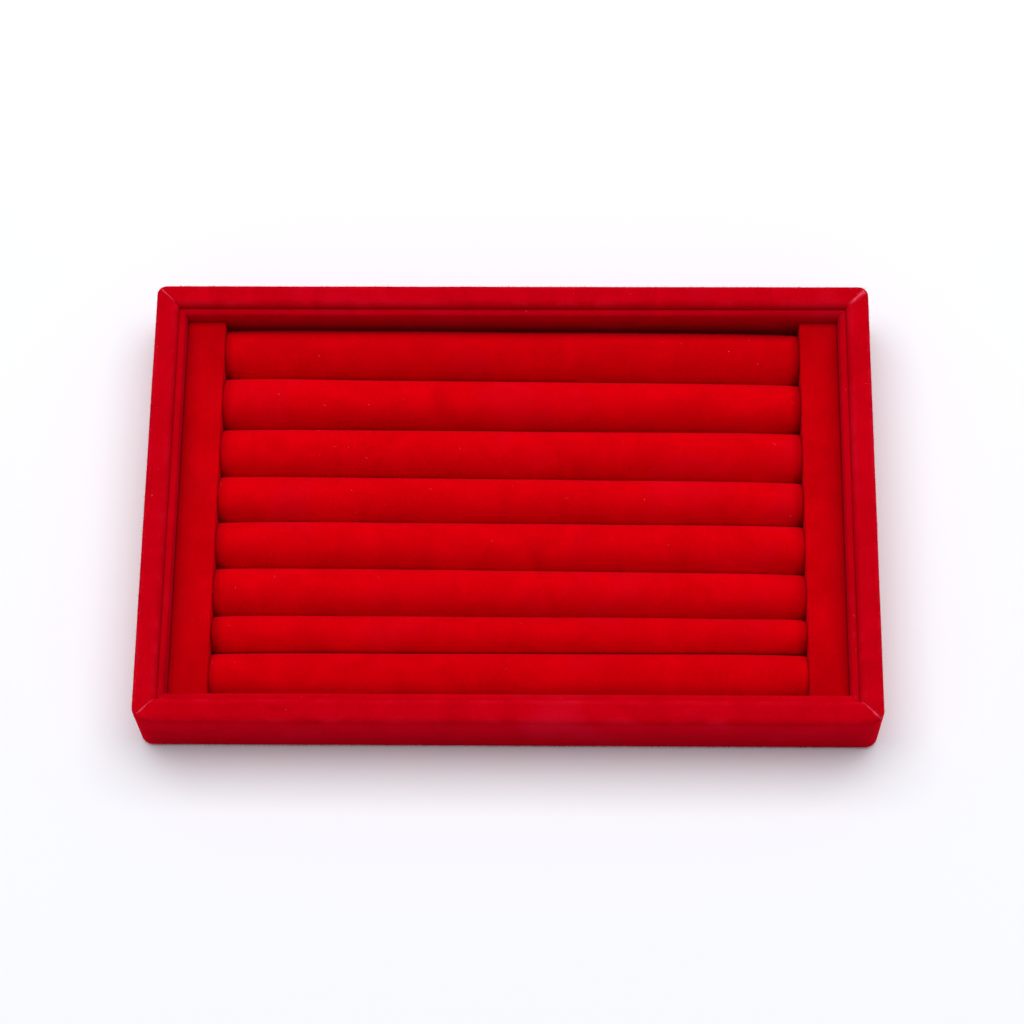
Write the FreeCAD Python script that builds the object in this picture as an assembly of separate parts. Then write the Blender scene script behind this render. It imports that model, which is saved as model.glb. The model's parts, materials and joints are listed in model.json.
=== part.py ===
import FreeCAD, Part
import math
import os

from FreeCAD import Vector

# A velvet-covered jewelry tray: a wrapped, mitred frame that holds a lift-out pad of stuffed rolls for rings.
# Millimetres. X runs along the tray, Y to the back, Z up. The origin is on the table, under the middle.

# Whole tray, measured over the velvet
TRAY_LENGTH = 225.0
TRAY_DEPTH = 145.0
TRAY_HEIGHT = 25.5
CORNER_RADIUS = 3.0
EDGE_RADIUS = 2.2

# Velvet, pile included
VELVET_THICKNESS = 0.75

# Frame: fibreboard rails with a rebate underneath for the base board, and a sheet below it all
RAIL_THICKNESS = 5.5
REBATE_WIDTH = 2.5
BASE_BOARD_THICKNESS = 2.0
BASE_BOARD_PLAY = 0.2
UNDERSIDE_SHEET_THICKNESS = 0.5
UNDERSIDE_SHEET_MARGIN = 3.0
FLOOR_LINING_THICKNESS = 0.4
FLOOR_LINING_PLAY = 0.2

# Liner: covered card against the inside of the rails, whose top is the ledge below the rim
LINER_CARD_THICKNESS = 1.0
LINER_DROP = 2.8
LINER_EDGE_RADIUS = 0.95

# Ring pad: a card that carries two covered bars and the rolls between them
PAD_CLEARANCE = 0.3
PAD_CARD_THICKNESS = 1.2
BAR_WIDTH = 11.8
BAR_HEIGHT = 14.5
BAR_INNER_EDGE_RADIUS = 1.0
BAR_OUTER_EDGE_RADIUS = 3.4

# Rolls: a flat foot, upright flanks and a round crown, drawn in at both ends, where the foam stops short
ROLL_HEIGHT = 14.6
ROLL_GAP = 0.3
ROLL_END_GAP = 0.15
ROLL_END_ROUND = 4.0
ROLL_END_TUCK = 0.4
FOAM_END_SETBACK = 4.0
ROLL_SEAM_WIDTH = 1.5
CROWN_RISE_SHARE = 0.9
CROWN_HEIGHT_SHARE = 0.7
SHOULDER_RADIUS_SHARE = 0.7
FOOT_RADIUS_SHARE = 0.55

# Where one roll ends and the next starts, from the pad's back edge, as shares of the pad's depth.
# The rolls are stuffed by hand, so they differ in width and lie a little askew between the bars.
LEFT_ROLL_EDGE_SHARES = (0.000, 0.133, 0.277, 0.406, 0.528, 0.650, 0.781, 0.874, 1.000)
RIGHT_ROLL_EDGE_SHARES = (0.008, 0.150, 0.283, 0.420, 0.535, 0.664, 0.786, 0.872, 1.000)

# Steps of the sleeve's drawn-in ends, as shares of the length that they round, and the middle of a roll
SLEEVE_END_SHARES = (0.0, 0.3, 1.0)
MIDDLE_SHARE = 0.5

# Cuts run this far past what they cut, and corners closer than the tolerance are one place
CUT_OVERRUN = 5.0
TOLERANCE = 0.001

# The two corners of the tray that each side runs between
SIDE_CORNERS = {
    "front": ((-1, -1), (1, -1)),
    "right": ((1, -1), (1, 1)),
    "back": ((1, 1), (-1, 1)),
    "left": ((-1, 1), (-1, -1)),
}

# Heights of the layers, from the table up
HEM_BOTTOM = UNDERSIDE_SHEET_THICKNESS
RAIL_BOTTOM = HEM_BOTTOM + VELVET_THICKNESS
RAIL_TOP = TRAY_HEIGHT - VELVET_THICKNESS
BASE_BOARD_TOP = HEM_BOTTOM + BASE_BOARD_THICKNESS
FLOOR_TOP = BASE_BOARD_TOP + FLOOR_LINING_THICKNESS
LEDGE_TOP = TRAY_HEIGHT - LINER_DROP
PAD_CARD_TOP = FLOOR_TOP + PAD_CARD_THICKNESS

# Half sizes in plan, from the outside in
TRAY_HALF = (TRAY_LENGTH / 2, TRAY_DEPTH / 2)
RIM_WIDTH = RAIL_THICKNESS + 2 * VELVET_THICKNESS
LINER_WIDTH = LINER_CARD_THICKNESS + 2 * VELVET_THICKNESS


def inset(half, distance):
    """The half sizes of a rectangle drawn in by a distance all round."""
    return (half[0] - distance, half[1] - distance)


RAIL_OUTER_HALF = inset(TRAY_HALF, VELVET_THICKNESS)
RAIL_INNER_HALF = inset(RAIL_OUTER_HALF, RAIL_THICKNESS)
REBATE_HALF = inset(RAIL_INNER_HALF, -REBATE_WIDTH)
RIM_INNER_HALF = inset(TRAY_HALF, RIM_WIDTH)
WELL_HALF = inset(RIM_INNER_HALF, LINER_WIDTH)
PAD_HALF = inset(WELL_HALF, PAD_CLEARANCE)
ROLL_HALF_LENGTH = PAD_HALF[0] - BAR_WIDTH - ROLL_END_GAP


def block(half, bottom, top):
    """A plain block, centred in plan."""
    corner = Vector(-half[0], -half[1], bottom)
    return Part.makeBox(2 * half[0], 2 * half[1], top - bottom, corner)


def upright_edges(shape):
    """The edges that run straight up."""
    found = []
    for edge in shape.Edges:
        box = edge.BoundBox
        if box.XLength < TOLERANCE and box.YLength < TOLERANCE:
            found.append(edge)
    return found


def level_edges(shape, height):
    """The edges that lie flat at a height."""
    found = []
    for edge in shape.Edges:
        box = edge.BoundBox
        if box.ZLength < TOLERANCE and abs(box.ZMin - height) < TOLERANCE:
            found.append(edge)
    return found


def rounded(shape, edges, radius):
    """The shape with some edges rounded, or left square where no radius remains."""
    if radius < TOLERANCE:
        return shape
    return shape.makeFillet(radius, edges)


def corner_block(half, bottom, top, corner_radius):
    """A block with round upright corners."""
    body = block(half, bottom, top)
    return rounded(body, upright_edges(body), corner_radius)


def soft_block(half, bottom, top, corner_radius, edge_radius):
    """A block with round upright corners and the same soft edge along its top and its bottom."""
    body = corner_block(half, bottom, top, corner_radius)
    level = level_edges(body, top) + level_edges(body, bottom)
    return rounded(body, level, min(edge_radius, corner_radius))


def mitre_sector(side):
    """The wedge of plan between the mitres at a side's two corners, taller than the tray."""
    first, second = SIDE_CORNERS[side]
    outer_half = inset(TRAY_HALF, -CUT_OVERRUN)
    inner_half = inset(WELL_HALF, CUT_OVERRUN)
    plan = []
    for signs, half in ((first, outer_half), (second, outer_half), (second, inner_half), (first, inner_half)):
        plan.append(Vector(signs[0] * half[0], signs[1] * half[1], -CUT_OVERRUN))
    plan.append(plan[0])
    face = Part.Face(Part.makePolygon(plan))
    return face.extrude(Vector(0, 0, TRAY_HEIGHT + 2 * CUT_OVERRUN))


def face_offset(side, point, half):
    """How far a point lies outside a side's face of a rectangle."""
    if side in ("left", "right"):
        return abs(point.x) - half[0]
    return abs(point.y) - half[1]


def round_along(shape, side, half, height, radius):
    """Rounds the one straight edge where a side's face meets a height."""
    edges = []
    for edge in level_edges(shape, height):
        if abs(face_offset(side, edge.CenterOfMass, half)) < TOLERANCE:
            edges.append(edge)
    return rounded(shape, edges, radius)


def side_of(body, hollow_half, side):
    """One mitred side of a body that is hollowed right through."""
    ring = body.cut(block(hollow_half, 0, TRAY_HEIGHT))
    return ring.common(mitre_sector(side))


def single_solid(shape):
    """The one solid in a shape."""
    return shape.Solids[0]


# Rails and their velvet

def bare_rail(side):
    """A mitred rail before its rebate is cut, with its long edges eased and its corner rounded."""
    corner_radius = max(CORNER_RADIUS - VELVET_THICKNESS, 0)
    edge_radius = max(EDGE_RADIUS - VELVET_THICKNESS, 0)
    rail = side_of(block(RAIL_OUTER_HALF, RAIL_BOTTOM, RAIL_TOP), RAIL_INNER_HALF, side)
    rail = round_along(rail, side, RAIL_OUTER_HALF, RAIL_TOP, edge_radius)
    rail = round_along(rail, side, RAIL_OUTER_HALF, RAIL_BOTTOM, edge_radius)
    rail = round_along(rail, side, RAIL_INNER_HALF, RAIL_TOP, edge_radius)
    return rail.common(corner_block(RAIL_OUTER_HALF, RAIL_BOTTOM, RAIL_TOP, corner_radius))


def rail_and_velvet(side, base_board_space):
    """A rail with its rebate, and the velvet strip wrapped over it and turned under."""
    bare = bare_rail(side)
    outside = soft_block(TRAY_HALF, HEM_BOTTOM, TRAY_HEIGHT, CORNER_RADIUS, EDGE_RADIUS)
    covered = side_of(outside, RIM_INNER_HALF, side)
    covered = round_along(covered, side, RIM_INNER_HALF, TRAY_HEIGHT, EDGE_RADIUS)
    rail = bare.cut(base_board_space)
    velvet = covered.cut(bare).cut(base_board_space)
    return single_solid(rail), single_solid(velvet)


# Liner cards and their velvet

def liner_and_velvet(side):
    """A liner card that stands on the base board, and the velvet folded over its top."""
    card_outer_half = inset(RIM_INNER_HALF, VELVET_THICKNESS)
    card_inner_half = inset(WELL_HALF, -VELVET_THICKNESS)
    card_top = LEDGE_TOP - VELVET_THICKNESS
    card = side_of(block(card_outer_half, BASE_BOARD_TOP, card_top), card_inner_half, side)
    covered = side_of(block(RIM_INNER_HALF, BASE_BOARD_TOP, LEDGE_TOP), WELL_HALF, side)
    for half in (WELL_HALF, RIM_INNER_HALF):
        covered = round_along(covered, side, half, LEDGE_TOP, LINER_EDGE_RADIUS)
    return single_solid(card), single_solid(covered.cut(card))


# Bars and their velvet

def bar_top_edges(body, inner_x, top):
    """A bar's top edge along the rolls, and its other top edges."""
    inner, others = [], []
    for edge in level_edges(body, top):
        if abs(edge.CenterOfMass.x - inner_x) < TOLERANCE:
            inner.append(edge)
        else:
            others.append(edge)
    return inner, others


def bar_body(direction, skin):
    """A bar, less a skin all round but below: crisp along the rolls, well rounded at its ends and its outer edge."""
    half = inset((BAR_WIDTH / 2, PAD_HALF[1]), skin)
    inner_x = -direction * half[0]
    top = PAD_CARD_TOP + BAR_HEIGHT - skin
    body = block(half, PAD_CARD_TOP, top)
    others = bar_top_edges(body, inner_x, top)[1]
    body = rounded(body, others, max(BAR_OUTER_EDGE_RADIUS - skin, 0))
    inner = bar_top_edges(body, inner_x, top)[0]
    return rounded(body, inner, max(BAR_INNER_EDGE_RADIUS - skin, 0))


def bar_and_velvet(direction):
    """A bar core glued to the pad card, and the velvet over its top, sides and ends."""
    core = bar_body(direction, VELVET_THICKNESS)
    velvet = bar_body(direction, 0).cut(core)
    middle = Vector(direction * (PAD_HALF[0] - BAR_WIDTH / 2), 0, 0)
    core.translate(middle)
    velvet.translate(middle)
    return single_solid(core), single_solid(velvet)


# Rolls

def roll_edge(number, along_share):
    """The place in Y of a roll's edge, between the left bar (0) and the right bar (1)."""
    left = LEFT_ROLL_EDGE_SHARES[number]
    right = RIGHT_ROLL_EDGE_SHARES[number]
    from_back_share = left + (right - left) * along_share
    return PAD_HALF[1] - 2 * PAD_HALF[1] * from_back_share


def arc_point(x, centre, radius, angle):
    """A point on a circle in an upright plane across the tray."""
    return Vector(x, centre[0] + radius * math.cos(angle), centre[1] + radius * math.sin(angle))


def arc_edge(x, centre, radius, start, end):
    """An arc in an upright plane across the tray."""
    first = arc_point(x, centre, radius, start)
    middle = arc_point(x, centre, radius, (start + end) / 2)
    last = arc_point(x, centre, radius, end)
    return Part.Arc(first, middle, last).toShape()


def roll_section(x, middle, half_width, height, skin):
    """A roll's outline: flat foot, round foot corners, flanks, shoulders and crown, less a skin all round."""
    bottom = PAD_CARD_TOP
    rise = min(CROWN_RISE_SHARE * half_width, CROWN_HEIGHT_SHARE * height)
    spring = height - rise
    foot = FOOT_RADIUS_SHARE * min(half_width, spring)
    shoulder = SHOULDER_RADIUS_SHARE * rise
    reach = half_width - shoulder
    crown = (reach ** 2 + rise ** 2 - shoulder ** 2) / (2 * (rise - shoulder))
    turn = math.atan2(crown - rise, reach)

    right_angle = math.pi / 2
    foot_right = (middle + half_width - foot, bottom + foot)
    foot_left = (middle - half_width + foot, bottom + foot)
    shoulder_right = (middle + reach, bottom + spring)
    shoulder_left = (middle - reach, bottom + spring)
    crown_centre = (middle, bottom + height - crown)
    arcs = (
        (foot_right, foot - skin, -right_angle, 0),
        (shoulder_right, shoulder - skin, 0, turn),
        (crown_centre, crown - skin, turn, math.pi - turn),
        (shoulder_left, shoulder - skin, math.pi - turn, math.pi),
        (foot_left, foot - skin, math.pi, math.pi + right_angle),
    )
    rounds = [arc_edge(x, *arc) for arc in arcs]
    right_flank = Part.makeLine(arc_point(x, *arcs[0][:2], 0), arc_point(x, *arcs[1][:2], 0))
    left_flank = Part.makeLine(arc_point(x, *arcs[3][:2], math.pi), arc_point(x, *arcs[4][:2], math.pi))
    sole = Part.makeLine(arc_point(x, *arcs[4][:2], -right_angle), arc_point(x, *arcs[0][:2], -right_angle))
    return Part.Wire([sole, rounds[0], right_flank, rounds[1], rounds[2], rounds[3], left_flank, rounds[4]])


def end_tuck(step_share):
    """How far a roll's end is drawn in, as a quarter round: fully at the tip, not at all at the start."""
    return ROLL_END_TUCK * (1 - math.sqrt(1 - (1 - step_share) ** 2))


def roll_body(number, left_stations, skin):
    """A roll lofted along stations that are alike at both ends, less a skin all round.

    A station is a place along the tray, and how far the roll is drawn in there.
    """
    right_stations = [(-x, tuck) for x, tuck in reversed(left_stations)]
    sections = []
    for x, tuck in left_stations + right_stations:
        along_share = (x + ROLL_HALF_LENGTH) / (2 * ROLL_HALF_LENGTH)
        back = roll_edge(number, along_share)
        front = roll_edge(number + 1, along_share)
        half_width = (back - front - ROLL_GAP) / 2 - tuck
        sections.append(roll_section(x, (back + front) / 2, half_width, ROLL_HEIGHT - tuck, skin))
    return Part.makeLoft(sections, True, True)


def roll_and_sleeve(number):
    """A foam roll, and the velvet sleeve round it, whose edges meet in a seam under the foot."""
    foam = roll_body(number, [(-ROLL_HALF_LENGTH + FOAM_END_SETBACK, 0)], VELVET_THICKNESS)
    end_stations = [(-ROLL_HALF_LENGTH + ROLL_END_ROUND * share, end_tuck(share)) for share in SLEEVE_END_SHARES]
    middle = (roll_edge(number, MIDDLE_SHARE) + roll_edge(number + 1, MIDDLE_SHARE)) / 2
    seam = block((ROLL_HALF_LENGTH, ROLL_SEAM_WIDTH / 2), 0, PAD_CARD_TOP + VELVET_THICKNESS)
    seam.translate(Vector(0, middle, 0))
    sleeve = roll_body(number, end_stations, 0).cut(foam).cut(seam)
    return single_solid(foam), single_solid(sleeve)


def build():
    """Every piece of the tray, by name."""
    pieces = {}
    base_board_space = block(REBATE_HALF, 0, BASE_BOARD_TOP)
    for side in SIDE_CORNERS:
        pieces[side + "_rail"], pieces[side + "_rail_velvet"] = rail_and_velvet(side, base_board_space)
        pieces[side + "_liner_card"], pieces[side + "_liner_velvet"] = liner_and_velvet(side)
    pieces["base_board"] = block(inset(REBATE_HALF, BASE_BOARD_PLAY), HEM_BOTTOM, BASE_BOARD_TOP)
    pieces["floor_lining"] = block(inset(WELL_HALF, FLOOR_LINING_PLAY), BASE_BOARD_TOP, FLOOR_TOP)
    pieces["underside_sheet"] = block(inset(TRAY_HALF, UNDERSIDE_SHEET_MARGIN), 0, HEM_BOTTOM)
    pieces["pad_card"] = block(PAD_HALF, FLOOR_TOP, PAD_CARD_TOP)
    pieces["left_bar_core"], pieces["left_bar_velvet"] = bar_and_velvet(-1)
    pieces["right_bar_core"], pieces["right_bar_velvet"] = bar_and_velvet(1)
    for number in range(len(LEFT_ROLL_EDGE_SHARES) - 1):
        name = "roll_%d" % (number + 1)
        pieces[name + "_foam"], pieces[name + "_sleeve"] = roll_and_sleeve(number)
    return pieces


os.makedirs("parts", exist_ok=True)
for piece_name, piece in build().items():
    piece.exportStep("parts/%s.step" % piece_name)
    print("%-20s %8.0f mm3 %s" % (piece_name, piece.Volume, "valid" if piece.isValid() else "NOT VALID"))
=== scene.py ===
# %% [markdown]
# # A red velvet jewelry tray with a lift-out ring pad
# The tray is a low frame of fibreboard rails wrapped in red velvet. A thin covered liner stands inside it
# and shows as a ledge below the rim. A loose pad drops in: a card with two covered bars and eight stuffed
# rolls, with narrow grooves between them. The construction is already made to size. This lesson gives it
# its cloth, its finishes, a table, a light and a camera.

# %% Load the frame that every piece is built on
import json
import math

import bmesh
import bpy
import numpy as np
from mathutils import Matrix, Vector, noise


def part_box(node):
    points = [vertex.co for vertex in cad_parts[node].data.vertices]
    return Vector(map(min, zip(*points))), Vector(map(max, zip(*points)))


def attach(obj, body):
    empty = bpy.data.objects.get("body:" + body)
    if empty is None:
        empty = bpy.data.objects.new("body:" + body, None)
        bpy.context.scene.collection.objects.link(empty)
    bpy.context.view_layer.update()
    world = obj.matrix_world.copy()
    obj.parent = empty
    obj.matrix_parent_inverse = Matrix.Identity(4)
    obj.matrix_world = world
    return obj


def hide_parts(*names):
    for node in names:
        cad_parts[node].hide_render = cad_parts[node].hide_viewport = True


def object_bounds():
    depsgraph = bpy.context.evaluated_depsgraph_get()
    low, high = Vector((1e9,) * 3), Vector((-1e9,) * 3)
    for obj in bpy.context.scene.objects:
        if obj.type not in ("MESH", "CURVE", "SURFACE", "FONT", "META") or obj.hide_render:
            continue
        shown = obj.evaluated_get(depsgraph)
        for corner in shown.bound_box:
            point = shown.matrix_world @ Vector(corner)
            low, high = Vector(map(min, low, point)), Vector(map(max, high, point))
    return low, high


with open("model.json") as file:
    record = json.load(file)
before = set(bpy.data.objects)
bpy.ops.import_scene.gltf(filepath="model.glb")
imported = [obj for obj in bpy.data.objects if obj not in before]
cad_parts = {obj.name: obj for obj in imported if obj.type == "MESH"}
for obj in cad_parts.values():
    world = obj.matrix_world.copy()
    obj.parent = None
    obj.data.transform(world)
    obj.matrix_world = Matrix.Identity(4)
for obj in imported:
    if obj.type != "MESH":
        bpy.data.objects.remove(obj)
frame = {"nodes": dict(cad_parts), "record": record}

cad_low, cad_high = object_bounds()
print("construction box", [round(value, 4) for value in (*cad_low, *cad_high)])

# %% [markdown]
# ## Sizes
# Every size comes from the pieces of the frame, so the cloth fits them. The script thinks in millimetres,
# as a maker does, and turns them to metres only where a mesh is made. Distances from the tray's outer
# face towards its middle are called depths.

# %% Sizes of the rails, the liner and the pad
MM = 0.001


def corners_mm(node):
    """The lowest and the highest corner of a piece of the frame, in millimetres."""
    low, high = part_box(node)
    return np.array(low) / MM, np.array(high) / MM


TRAY_HALF = np.array(cad_high)[:2] / MM
RIM_TOP = cad_high.z / MM
HEM_BOTTOM = corners_mm("front_rail_velvet")[0][2]
CLOTH = corners_mm("front_rail")[0][1] - corners_mm("front_rail_velvet")[0][1]
BOARD_TOP = corners_mm("base_board")[1][2]
BOARD_EDGE_DEPTH = TRAY_HALF[1] - corners_mm("base_board")[1][1]
LINER_DEPTH = TRAY_HALF[1] + corners_mm("front_liner_velvet")[0][1]
WELL_DEPTH = TRAY_HALF[1] + corners_mm("front_liner_velvet")[1][1]
LEDGE_TOP = corners_mm("front_liner_velvet")[1][2]
print("velvet", round(CLOTH, 2), "mm, rim", round(LINER_DEPTH, 2), "mm wide, ledge at", round(LEDGE_TOP, 2))

# %% [markdown]
# ## From points to pieces
# Cloth that is wrapped round something is a sheet with two faces. Both faces are grids of points with the
# same rows and columns, so one function can skin them and close the edges. A solidify modifier could add
# the second face, but two grids let the inner face lie on the board while only the outer one ripples.

# %% Helpers that skin grids of points
def grid_faces(rows, columns, start, flip):
    """The four-sided faces of a grid of points that is numbered row by row."""
    faces = []
    for row in range(rows - 1):
        for column in range(columns - 1):
            corner = start + row * columns + column
            face = [corner, corner + 1, corner + columns + 1, corner + columns]
            faces.append(face[::-1] if flip else face)
    return faces


def border_loop(rows, columns):
    """The numbers of a grid's outermost points, once round."""
    first = list(range(columns))
    last_column = [row * columns + columns - 1 for row in range(1, rows)]
    last_row = [(rows - 1) * columns + column for column in range(columns - 2, -1, -1)]
    first_column = [row * columns for row in range(rows - 2, 0, -1)]
    return first + last_column + last_row + first_column


def skinned(name, points, faces):
    """A smooth mesh, in metres, from points in millimetres, with its faces turned outwards."""
    mesh = bpy.data.meshes.new(name)
    mesh.from_pydata((np.asarray(points) * MM).tolist(), [], faces)
    turner = bmesh.new()
    turner.from_mesh(mesh)
    bmesh.ops.recalc_face_normals(turner, faces=turner.faces)
    turner.to_mesh(mesh)
    turner.free()
    mesh.shade_smooth()
    return mesh


def cloth_mesh(name, outside, inside):
    """A closed sheet of cloth between two grids of points, its outer and its inner face."""
    rows, columns = outside.shape[:2]
    layer = rows * columns
    faces = grid_faces(rows, columns, 0, False) + grid_faces(rows, columns, layer, True)
    loop = border_loop(rows, columns)
    for here, there in zip(loop, loop[1:] + loop[:1]):
        faces.append([there, here, here + layer, there + layer])
    points = np.concatenate([outside.reshape(-1, 3), inside.reshape(-1, 3)])
    return skinned(name, points, faces)


print("skinning helpers ready")

# %% Helpers that mark a piece and add it to the scene
def mark(mesh, name, values):
    """Keeps numbers from 0 to 1 on the first points of a mesh, for materials to read, and 0 on the rest."""
    kept_values = np.zeros(len(mesh.vertices), np.float32)
    first_values = np.asarray(values, np.float32).ravel()
    kept_values[:len(first_values)] = first_values
    mesh.attributes.new(name, "FLOAT", "POINT").data.foreach_set("value", kept_values)


def add_piece(name, mesh, material, body, slot, *nodes):
    """A piece that rides on a body and stands for some pieces of the frame."""
    piece = bpy.data.objects.new(name, mesh)
    bpy.context.scene.collection.objects.link(piece)
    mesh.materials.append(material)
    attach(piece, body)
    if nodes:
        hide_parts(*nodes)
    return piece


def ripple(points, size, seed):
    """Soft noise from -1 to 1 at a grid of points, with bumps of a size in millimetres."""
    shift = Vector((seed, seed, seed))
    values = [noise.noise(Vector(point) / size + shift) for point in points.reshape(-1, 3)]
    return np.array(values).reshape(points.shape[:-1])


def fading(distance, reach):
    """A share that is 1 at a distance of 0 and fades out at about twice the reach."""
    return np.exp(-(distance / reach) ** 2)


print("helpers ready")

# %% [markdown]
# ## Velvet
# Velvet is a woven polyester backing with a short, dense pile that stands up like a brush. Light that
# enters the pile wanders among the fibres and is coloured again and again before it leaves, so the red is
# deep, narrow gaps glow a little and there is no white shine: scattering below the surface draws that. At
# a grazing angle the sides of the fibres catch the light, which is what the sheen draws. The nap is never
# even: it leans one way or another, and lint lies on it as pale specks. Where shade falls on the cloth a
# deeper tone is mixed in as painted shade.

# %% Helpers for materials
def linear(hex_colour):
    """An sRGB hex colour as linear red, green, blue and alpha."""
    full = 255
    channels = [int(hex_colour[place:place + 2], 16) / full for place in (1, 3, 5)]
    low, gamma = 0.04045, 2.4
    scale, lift = 12.92, 0.055
    values = [c / scale if c <= low else ((c + lift) / (1 + lift)) ** gamma for c in channels]
    return (*values, 1.0)


def add_node(tree, kind, settings, links):
    """One shader node with its settings, and its inputs joined to other nodes' outputs."""
    node = tree.nodes.new("ShaderNode" + kind)
    for key, value in settings.items():
        if isinstance(key, int) or key in node.inputs:
            node.inputs[key].default_value = value
        else:
            setattr(node, key, value)
    for key, output in links.items():
        tree.links.new(output, node.inputs[key])
    return node


def per_metre(size_mm):
    """How often a pattern of a size in millimetres repeats in a metre."""
    return 1 / (size_mm * MM)


def new_material(name):
    """An empty material, with its node tree and its output node."""
    material = bpy.data.materials.new(name)
    material.use_nodes = True
    material.node_tree.nodes.clear()
    return material, material.node_tree, material.node_tree.nodes.new("ShaderNodeOutputMaterial")


# Inputs of the colour Mix node, which shares its names among number, vector and colour
MIX_FACTOR, MIX_FIRST, MIX_SECOND, MIX_RESULT = 0, 6, 7, 2


def two_toned(name, dark, light, patch_mm, grain, finish, relief_mm=0):
    """A material in two tones that change in patches of a size, with or without relief."""
    material, tree, output = new_material(name)
    place = add_node(tree, "TexCoord", {}, {}).outputs["Object"]
    patches = add_node(tree, "TexNoise", {"Scale": per_metre(patch_mm), **grain}, {"Vector": place})
    spread = add_node(tree, "MapRange", {"From Min": 0.35, "From Max": 0.65},
                      {"Value": patches.outputs["Fac"]})
    colour = add_node(tree, "Mix",
                      {"data_type": "RGBA", MIX_FIRST: linear(dark), MIX_SECOND: linear(light)},
                      {MIX_FACTOR: spread.outputs["Result"]})
    surface = add_node(tree, "BsdfPrincipled", finish, {"Base Color": colour.outputs[MIX_RESULT]})
    if relief_mm:
        relief = add_node(tree, "Bump", {"Strength": 0.4, "Distance": relief_mm * MM},
                          {"Height": patches.outputs["Fac"]})
        tree.links.new(relief.outputs["Normal"], surface.inputs["Normal"])
    tree.links.new(surface.outputs["BSDF"], output.inputs["Surface"])
    return material


print("material helpers ready")

# %% Pile and lint of red velvet
TUFT_MM = 0.6
STREAK_MM = 1.6
NAP_PATCH_MM = 10.0
LINT_SPACING_MM = 9.0
LINT_SIZE_MM = 0.17
# How much the patterns are squeezed along each axis, for tufts in rows and for long brushed streaks
COMBED, BRUSHED = (1.0, 0.35, 1.0), (1.0, 0.06, 0.06)


def pile_tones(tree, place, deep, clear):
    """The colour of standing pile, the strands that give it relief and the patches of its nap."""
    combed = add_node(tree, "Mapping", {"Scale": COMBED}, {"Vector": place})
    brushed = add_node(tree, "Mapping", {"Scale": BRUSHED}, {"Vector": place})
    tufts = add_node(tree, "TexNoise", {"Scale": per_metre(TUFT_MM), "Detail": 2.0},
                     {"Vector": combed.outputs["Vector"]})
    streaks = add_node(tree, "TexNoise", {"Scale": per_metre(STREAK_MM), "Detail": 2.0},
                       {"Vector": brushed.outputs["Vector"]})
    nap = add_node(tree, "TexNoise", {"Scale": per_metre(NAP_PATCH_MM), "Detail": 3.0, "Distortion": 0.7},
                   {"Vector": place})
    # Pile that leans away looks deep, pile that leans towards the light looks clear
    strands = add_node(tree, "Math", {"operation": "MULTIPLY_ADD", 1: 0.25},
                       {0: streaks.outputs["Fac"], 2: tufts.outputs["Fac"]})
    mottle = add_node(tree, "Math", {"operation": "MULTIPLY_ADD", 1: 0.55},
                      {0: strands.outputs["Value"], 2: nap.outputs["Fac"]})
    depth = add_node(tree, "MapRange", {"From Min": 0.58, "From Max": 1.1},
                     {"Value": mottle.outputs["Value"]})
    pile = add_node(tree, "Mix",
                    {"data_type": "RGBA", MIX_FIRST: linear(deep), MIX_SECOND: linear(clear)},
                    {MIX_FACTOR: depth.outputs["Result"]})
    return pile.outputs[MIX_RESULT], strands.outputs["Value"], nap.outputs["Fac"]


def lint_specks(tree, place):
    """A share of 0, except in small specks here and there, some of them paler than others."""
    cells = add_node(tree, "TexVoronoi", {"Scale": per_metre(LINT_SPACING_MM)}, {"Vector": place})
    near = add_node(tree, "Math", {"operation": "LESS_THAN", 1: LINT_SIZE_MM / LINT_SPACING_MM},
                    {0: cells.outputs["Distance"]})
    some = add_node(tree, "MapRange", {"From Min": 0.35, "From Max": 1.0, "To Max": 0.8},
                    {"Value": cells.outputs["Color"]})
    speck = add_node(tree, "Math", {"operation": "MULTIPLY"},
                     {0: near.outputs["Value"], 1: some.outputs["Result"]})
    return speck.outputs["Value"]


print("pile and lint ready")

# %% Red velvet, one recipe in three looks
LEAN_PATCH_MM = 26.0
PILE_DEPTH_MM = 0.10
PILE_GLOW_MM = 0.6
# Pale colours for pile at the rim's turns, partly wear and partly painted highlight, for a cut edge of the
# backing, and for lint
WORN_AND_LIT_PILE, CUT_BACKING, LINT = "#D01028", "#FF4C68", "#F07886"


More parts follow.
